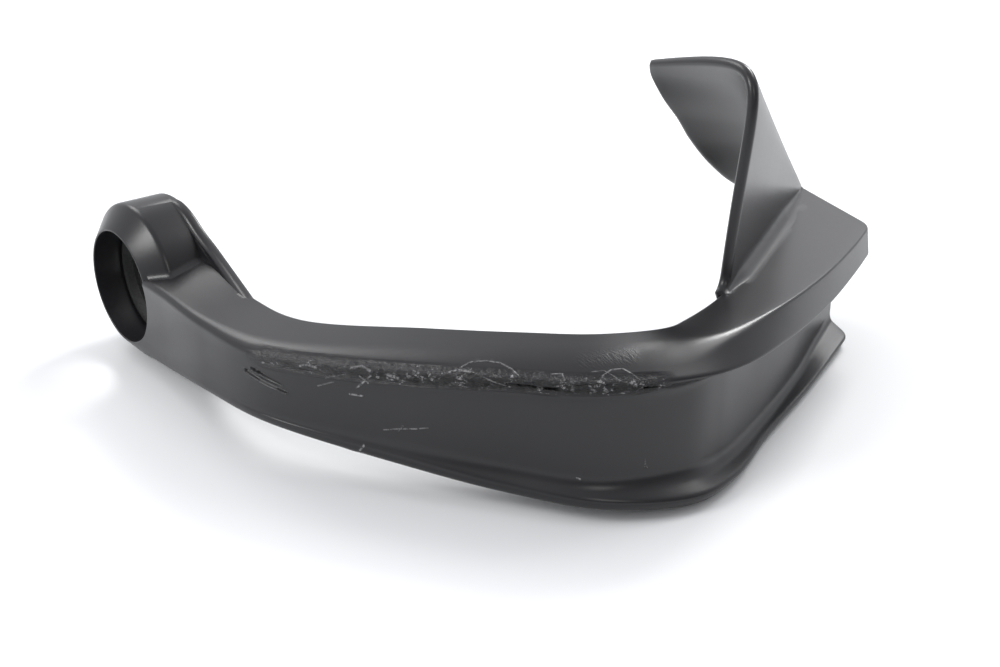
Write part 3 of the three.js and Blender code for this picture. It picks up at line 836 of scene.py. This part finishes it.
def make_cover():
    inset = 0.002
    t = np.linspace(POCKET[0] + inset, POCKET[1] - inset, 150)
    _, _, _, top, bottom, rear = pocket_rails()
    high, low = top - GAP, bottom + GAP
    corners = [(rear(high), high), (rear(high) - COVER, high),
               (rear(low) - COVER, low), (rear(low), low)]
    lines = [rail(np.stack(c, axis=1), t) for c in corners]
    sections = rounded_sections(lines, [np.full(len(t), 0.4)] * 4, 4, (1, 10, 1, 10))
    cover = tube("cover", sections)
    for face, inward, _ in SEATS:
        seat = SCREW["height"] + GAP
        profile = [(0, 0), (0, SCREW["recess"] - 0.25), (0.25, SCREW["recess"]),
                   (seat - 0.3, SCREW["recess"]), (seat + 0.6, SCREW["recess"] + 0.9), (seat + 0.6, 0)]
        cover = cut(cover, lathe("recess", profile, face - inward * seat, inward, 48))
        cover = cut(cover, rod(face - inward * 6, inward, 12, SCREW["shank"] + GAP, 24))
    for face, inward, _ in PADS:
        radius = PAD["outer"] + GAP
        profile = [(0, 0), (0, radius), (5.7, radius), (6.6, radius + 0.9), (6.6, 0)]
        cover = cut(cover, lathe("hole", profile, face - inward * 6, inward, 64))
    return cover


def make_screw(number, face, inward):
    head, height = SCREW["head"], SCREW["height"]
    tip = SCREW["length"] - height
    profile = [(-tip, 0), (-tip, 0.5), (-tip + 1.2, SCREW["shank"])]
    turns = 14
    for k in range(turns):
        x = -tip + 1.2 + (tip - 1.6) * k / turns
        profile += [(x, SCREW["shank"]), (x + 0.25, SCREW["shank"] - 0.22)]
    profile += [(-0.2, SCREW["shank"]), (0, SCREW["shank"]), (0, head - 0.15), (0.15, head)]
    profile += [(height * 0.55, head), (height * 0.8, head - 0.22), (height, head - 0.75), (height, 0)]
    seat = face - inward * height
    screw = lathe(f"screw_{number}", profile, seat, inward, 40)
    socket = [(0, 0), (0.18, 1.1), (2, 1.2), (2, 0)]
    return cut(screw, lathe("socket", socket, seat + inward * (height - 0.8), inward, 6))


def make_insert(number, face, inward):
    end = face + inward * PAD["stand"]
    length, inner, outer = INSERT["length"], INSERT["inner"], INSERT["outer"]
    profile = [(0.5, inner + 0.5)]
    pitch = 1.0
    for k in range(int(length) - 1):
        x = 0.7 + k * pitch
        profile += [(x, inner), (x + pitch / 2, inner + 0.32)]
    profile += [(length - 0.45, inner), (length, inner + 0.5)]
    profile += [(length, outer - 0.25), (length - 0.25, outer)]
    for k in range(4):
        x = length - 1 - 2 * k
        profile += [(x, outer), (x - 0.4, outer - 0.35), (x - 0.8, outer)]
    profile += [(0.25, outer), (0, outer - 0.25), (0, inner + 0.6)]
    return lathe(f"insert_{number}", profile, end - inward * length, inward, 64)


def make_liner():
    outer, inner = EYE["bore"] - GAP, 17.0
    start, end = 10.0, 21.6
    corners = [(start, inner), (start, outer), (end, outer), (end, inner)]
    profile = soft_profile(corners, (0.7, 0.3, 0.3, 0.6))
    ribs = []
    for x in (18.6, 16.2, 13.8):
        ribs += [(x + 0.8, inner), (x + 0.45, inner + 0.45), (x - 0.45, inner + 0.45), (x - 0.8, inner)]
    return lathe("liner", profile + ribs, EYE_CENTRE, INBOARD, 144)


# ---------------------------------------- finishing


def finish_mesh(made):
    """Smooth shading with sharp edges where faces turn steeply."""
    mesh = made.data
    mesh.polygons.foreach_set("use_smooth", [True] * len(mesh.polygons))
    mesh.set_sharp_from_angle(angle=SHARP_ANGLE)


def mark_shell(shell):
    """Stores on each point how badly it is scraped, and the marks it lies on."""
    t = np.linspace(0, 1, 1500)
    ridge = rail(OFFSETS["ridge"], t)
    tree = KDTree(len(ridge))
    for k, p in enumerate(ridge):
        tree.insert(Vector(p), k)
    tree.balance()
    points = coordinates(shell.data)
    near = [tree.find(Vector(p)) for p in points]
    index, distance = (np.array([n[k] for n in near]) for k in (1, 2))
    share = worn_share(points[:, 2] - ridge[index, 2], distance, t[index])
    shares = {
        "wear": share,
        "light_mark": mark_share(points, LIGHT_MARKS),
        "deep_mark_and_shade": mark_share(points, DEEP_MARKS),
        "hatch": mark_share(points, [HATCH]),
    }
    for name, values in shares.items():
        layer = shell.data.attributes.new(name, "FLOAT", "POINT")
        layer.data.foreach_set("value", values.astype(np.float32))


# ---------------------------------------- materials


class Nodes:
    """Short way to add and join the shader nodes of a new material or world."""

    def __init__(self, owner):
        owner.use_nodes = True
        self.owner = owner
        self.tree = owner.node_tree
        self.shader = next(n for n in self.tree.nodes if n.type in ("BSDF_PRINCIPLED", "BACKGROUND"))

    def add(self, kind, **values):
        node = self.tree.nodes.new(kind)
        for key, value in values.items():
            setattr(node, key, value)
        return node

    def link(self, source, target):
        self.tree.links.new(source, target)

    def feed(self, socket, value):
        if isinstance(value, (int, float, tuple)):
            socket.default_value = value
        else:
            self.link(value, socket)

    def math(self, operation, a, b, clamp=False):
        node = self.add("ShaderNodeMath", operation=operation, use_clamp=clamp)
        self.feed(node.inputs[0], a)
        self.feed(node.inputs[1], b)
        return node.outputs[0]

    def times(self, a, b):
        return self.math("MULTIPLY", a, b)

    def ramp(self, value, low, high, out_low=0.0, out_high=1.0, shape="SMOOTHSTEP"):
        node = self.add("ShaderNodeMapRange", interpolation_type=shape)
        self.feed(node.inputs["Value"], value)
        limits = {"From Min": low, "From Max": high, "To Min": out_low, "To Max": out_high}
        for key, number in limits.items():
            node.inputs[key].default_value = number
        return node.outputs[0]

    def place(self):
        return self.add("ShaderNodeTexCoord").outputs["Object"]

    def stretched(self, scales):
        node = self.add("ShaderNodeMapping")
        self.link(self.place(), node.inputs["Vector"])
        node.inputs["Scale"].default_value = scales
        return node.outputs[0]

    def noise(self, scale, detail=2.0, roughness=0.5, vector=None):
        node = self.add("ShaderNodeTexNoise")
        node.inputs["Scale"].default_value = scale
        node.inputs["Detail"].default_value = detail
        node.inputs["Roughness"].default_value = roughness
        self.link(vector or self.place(), node.inputs["Vector"])
        return node.outputs["Fac"]

    def attribute(self, name):
        return self.add("ShaderNodeAttribute", attribute_name=name).outputs["Fac"]

    def mix(self, share, a, b):
        node = self.add("ShaderNodeMix", data_type="RGBA")
        self.feed(node.inputs["Factor"], share)
        self.feed(node.inputs[6], a)
        self.feed(node.inputs[7], b)
        return node.outputs[2]

    def bump(self, height, strength, distance, before=None):
        node = self.add("ShaderNodeBump")
        node.inputs["Strength"].default_value = strength
        node.inputs["Distance"].default_value = distance
        self.link(height, node.inputs["Height"])
        if before is not None:
            self.link(before, node.inputs["Normal"])
        return node.outputs[0]


BLACK = (0.0065, 0.0063, 0.0074, 1)
CHALK = (0.32, 0.316, 0.322, 1)


def shell_material():
    n = Nodes(bpy.data.materials.new("moulded_black"))
    drift = n.noise(18, 3, 0.55)
    grain = n.noise(2600, 2, 0.6)
    fine = n.noise(900, 3, 0.6)
    dust = n.ramp(n.noise(420, 4, 0.75), 0.70, 0.77)

    # scraped ridge: torn grooves, whose colour is darkened as painted shade in the grooves, with chalky
    # chips where the plastic has whitened
    wear = n.attribute("wear")
    torn = n.noise(330, 5, 0.7, n.stretched((0.5, 0.5, 2.2)))
    chips = n.noise(700, 5, 0.75, n.stretched((0.8, 0.8, 1.3)))
    clusters = n.ramp(n.noise(170, 2, 0.5), 0.42, 0.6)
    ripped_and_shaded = n.ramp(n.math("ADD", torn, n.times(wear, 0.35)), 0.66, 0.8)
    ripped_and_shaded = n.times(ripped_and_shaded, n.ramp(wear, 0.03, 0.3))
    chip = n.math("ADD", chips, n.times(wear, 0.12))
    chip = n.times(n.ramp(chip, 0.63, 0.73), n.ramp(wear, 0.08, 0.3))
    chip = n.times(chip, clusters)

    light = n.attribute("light_mark")
    broken = n.ramp(n.noise(1100, 3, 0.7), 0.36, 0.56)
    light = n.times(light, broken)
    deep = n.attribute("deep_mark_and_shade")
    hatch = n.attribute("hatch")
    threads = n.noise(800, 2, 0.6, n.stretched((2.2, 0.7, 1)))

    base = n.mix(n.ramp(drift, 0.3, 0.7), BLACK, (0.0080, 0.0077, 0.0092, 1))
    base = n.mix(n.times(dust, 0.15), base, (0.05, 0.05, 0.054, 1))
    # painted shade: the torn grooves are darkened in colour to stand in for the shade inside them
    base = n.mix(n.times(ripped_and_shaded, 0.85), base, (0.003, 0.003, 0.0033, 1))
    chalky = n.math("MAXIMUM", n.times(chip, 0.9), n.times(light, 0.85), True)
    base = n.mix(chalky, base, CHALK)
    # painted shade: the carved deep marks are darkened near black to stand in for the shade in the
    # gouges
    base = n.mix(n.times(deep, 0.9), base, (0.001, 0.001, 0.001, 1))
    n.link(base, n.shader.inputs["Base Color"])

    rough = n.ramp(drift, 0.2, 0.8, 0.29, 0.33)
    rough = n.math("ADD", rough, n.times(n.math("SUBTRACT", fine, 0.5), 0.05))
    rough = n.math("ADD", rough, n.times(n.math("MAXIMUM", ripped_and_shaded, light), 0.12))
    rough = n.math("ADD", rough, n.times(deep, 0.4), True)
    n.link(rough, n.shader.inputs["Roughness"])

    skin = n.bump(grain, 0.12, 0.00010)
    skin = n.bump(drift, 0.03, 0.0008, skin)
    skin = n.bump(n.times(torn, n.times(wear, -1.0)), 1.0, 0.0022, skin)
    skin = n.bump(n.times(threads, hatch), 0.3, 0.0004, skin)
    n.link(skin, n.shader.inputs["Normal"])
    n.shader.inputs["Specular IOR Level"].default_value = 0.5
    return n.owner


def plastic_material(name, dark, light, rough_low, rough_high, grain_scale, grain_depth):
    n = Nodes(bpy.data.materials.new(name))
    drift = n.noise(30, 3, 0.55)
    grain = n.noise(grain_scale, 3, 0.65)
    n.link(n.mix(n.ramp(drift, 0.3, 0.7), dark, light), n.shader.inputs["Base Color"])
    n.link(n.ramp(grain, 0.25, 0.75, rough_low, rough_high), n.shader.inputs["Roughness"])
    n.link(n.bump(grain, 0.6, grain_depth), n.shader.inputs["Normal"])
    return n.owner


def metal_material(name, colour, dull, rough):
    n = Nodes(bpy.data.materials.new(name))
    stain = n.noise(500, 4, 0.6)
    turned = n.noise(3500, 2, 0.5, n.stretched((1, 1, 6)))
    n.link(n.mix(n.ramp(stain, 0.45, 0.75), colour, dull), n.shader.inputs["Base Color"])
    n.link(n.ramp(turned, 0.3, 0.7, rough - 0.06, rough + 0.1), n.shader.inputs["Roughness"])
    n.link(n.bump(turned, 0.2, 0.00008), n.shader.inputs["Normal"])
    n.shader.inputs["Metallic"].default_value = 1.0
    return n.owner


def paint(made, material):
    made.data.materials.clear()
    made.data.materials.append(material)
    made.data.polygons.foreach_set("material_index", [0] * len(made.data.polygons))


def fit_out(made, material, slot, *nodes):
    finish_mesh(made)
    paint(made, material)
    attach(made, "root")
    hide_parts(*nodes)


# ---------------------------------------- the guard

shell = make_shell()
mark_shell(shell)
fit_out(shell, shell_material(), "shell", "guard_shell")

cover_look = plastic_material("grained_black", (0.014, 0.014, 0.0155, 1), (0.018, 0.018, 0.0195, 1),
                              0.5, 0.66, 1500, 0.00025)
fit_out(make_cover(), cover_look, "cover", "rear_cover")

rubber_look = plastic_material("rubber", (0.011, 0.011, 0.011, 1), (0.016, 0.016, 0.0158, 1),
                               0.7, 0.88, 1100, 0.0002)
fit_out(make_liner(), rubber_look, "rubber", "eye_liner")

steel_look = metal_material("dark_zinc", (0.30, 0.31, 0.33, 1), (0.17, 0.175, 0.185, 1), 0.36)
for number, (face, inward, _) in enumerate(SEATS, 1):
    fit_out(make_screw(number, face, inward), steel_look, "screw", f"cover_screw_{number}")

brass_look = metal_material("brass", (0.68, 0.47, 0.2, 1), (0.42, 0.29, 0.13, 1), 0.3)
for number, (face, inward, _) in enumerate(PADS, 1):
    fit_out(make_insert(number, face, inward), brass_look, "insert", f"mount_insert_{number}")

# ---------------------------------------- the stage

SKY = {"low": 0.9, "high": 0.85, "front": 0.35}  # strengths of the room's light
DARK_SIDE = (-0.26, -0.966, 0)  # direction of the room's darker side
LIGHT_TARGET = (0, -0.02, 0.03)
LIGHTS = [  # name, place, side and power of each square lamp
    ("key_box", (1.05, 0.36, 1.03), 0.45, 12),
    ("side_box", (0.93, -0.15, 1.20), 0.5, 4),
    ("rear_box", (0.04, 1.15, 1.0), 0.5, 3.4),
    ("left_box", (-1.15, 0.30, 0.90), 0.5, 8),
    ("front_box", (-0.52, -1.11, 0.86), 0.5, 2.0),
]


def make_floor():
    size, cells = 6.0, 24
    line = np.linspace(-size, size, cells + 1) * 1000
    points = [(x, y, 0) for y in line for x in line]
    faces = [[j * (cells + 1) + i, j * (cells + 1) + i + 1, (j + 1) * (cells + 1) + i + 1,
              (j + 1) * (cells + 1) + i] for j in range(cells) for i in range(cells)]
    floor = new_object("floor", points, faces)
    n = Nodes(bpy.data.materials.new("pale_floor"))
    tone = n.noise(1.5, 2, 0.5)
    n.link(n.mix(tone, (0.83, 0.84, 0.845, 1), (0.86, 0.865, 0.87, 1)), n.shader.inputs["Base Color"])
    n.shader.inputs["Roughness"].default_value = 0.7
    n.shader.inputs["Specular IOR Level"].default_value = 0.2
    paint(floor, n.owner)


def area_light(name, where, size, power):
    data = bpy.data.lights.new(name, "AREA")
    data.shape = "RECTANGLE"
    data.size = data.size_y = size
    data.energy = power
    lamp = add_object(name, data)
    lamp.location = where
    lamp.rotation_euler = (Vector(LIGHT_TARGET) - Vector(where)).to_track_quat("-Z", "Y").to_euler()


def make_world():
    """Pale room, with a darker front side."""
    n = Nodes(bpy.data.worlds.new("studio"))
    bpy.context.scene.world = n.owner
    direction = n.add("ShaderNodeTexCoord").outputs["Generated"]
    split = n.add("ShaderNodeSeparateXYZ")
    n.link(direction, split.inputs[0])
    fade = n.ramp(split.outputs["Z"], 0.25, 0.9, SKY["low"], SKY["high"], "LINEAR")
    side = n.add("ShaderNodeVectorMath", operation="DOT_PRODUCT")
    n.link(direction, side.inputs[0])
    side.inputs[1].default_value = DARK_SIDE
    shade = n.ramp(side.outputs["Value"], 0.2, 0.9, 1.0, SKY["front"])
    n.link(n.times(fade, shade), n.shader.inputs["Strength"])
    n.shader.inputs["Color"].default_value = (0.955, 0.965, 1.0, 1)


def make_camera():
    data = bpy.data.cameras.new("camera")
    data.lens = 50.4
    data.sensor_width = 36
    data.clip_start = 0.01
    data.clip_end = 50
    camera = add_object("camera", data)
    camera.location = (-0.2873, -0.3268, 0.2095)
    camera.rotation_euler = (math.radians(65), 0, math.radians(-40))
    bpy.context.scene.camera = camera


make_floor()
make_world()
make_camera()
bpy.context.scene.view_settings.view_transform = "Standard"
for lamp in LIGHTS:
    area_light(*lamp)
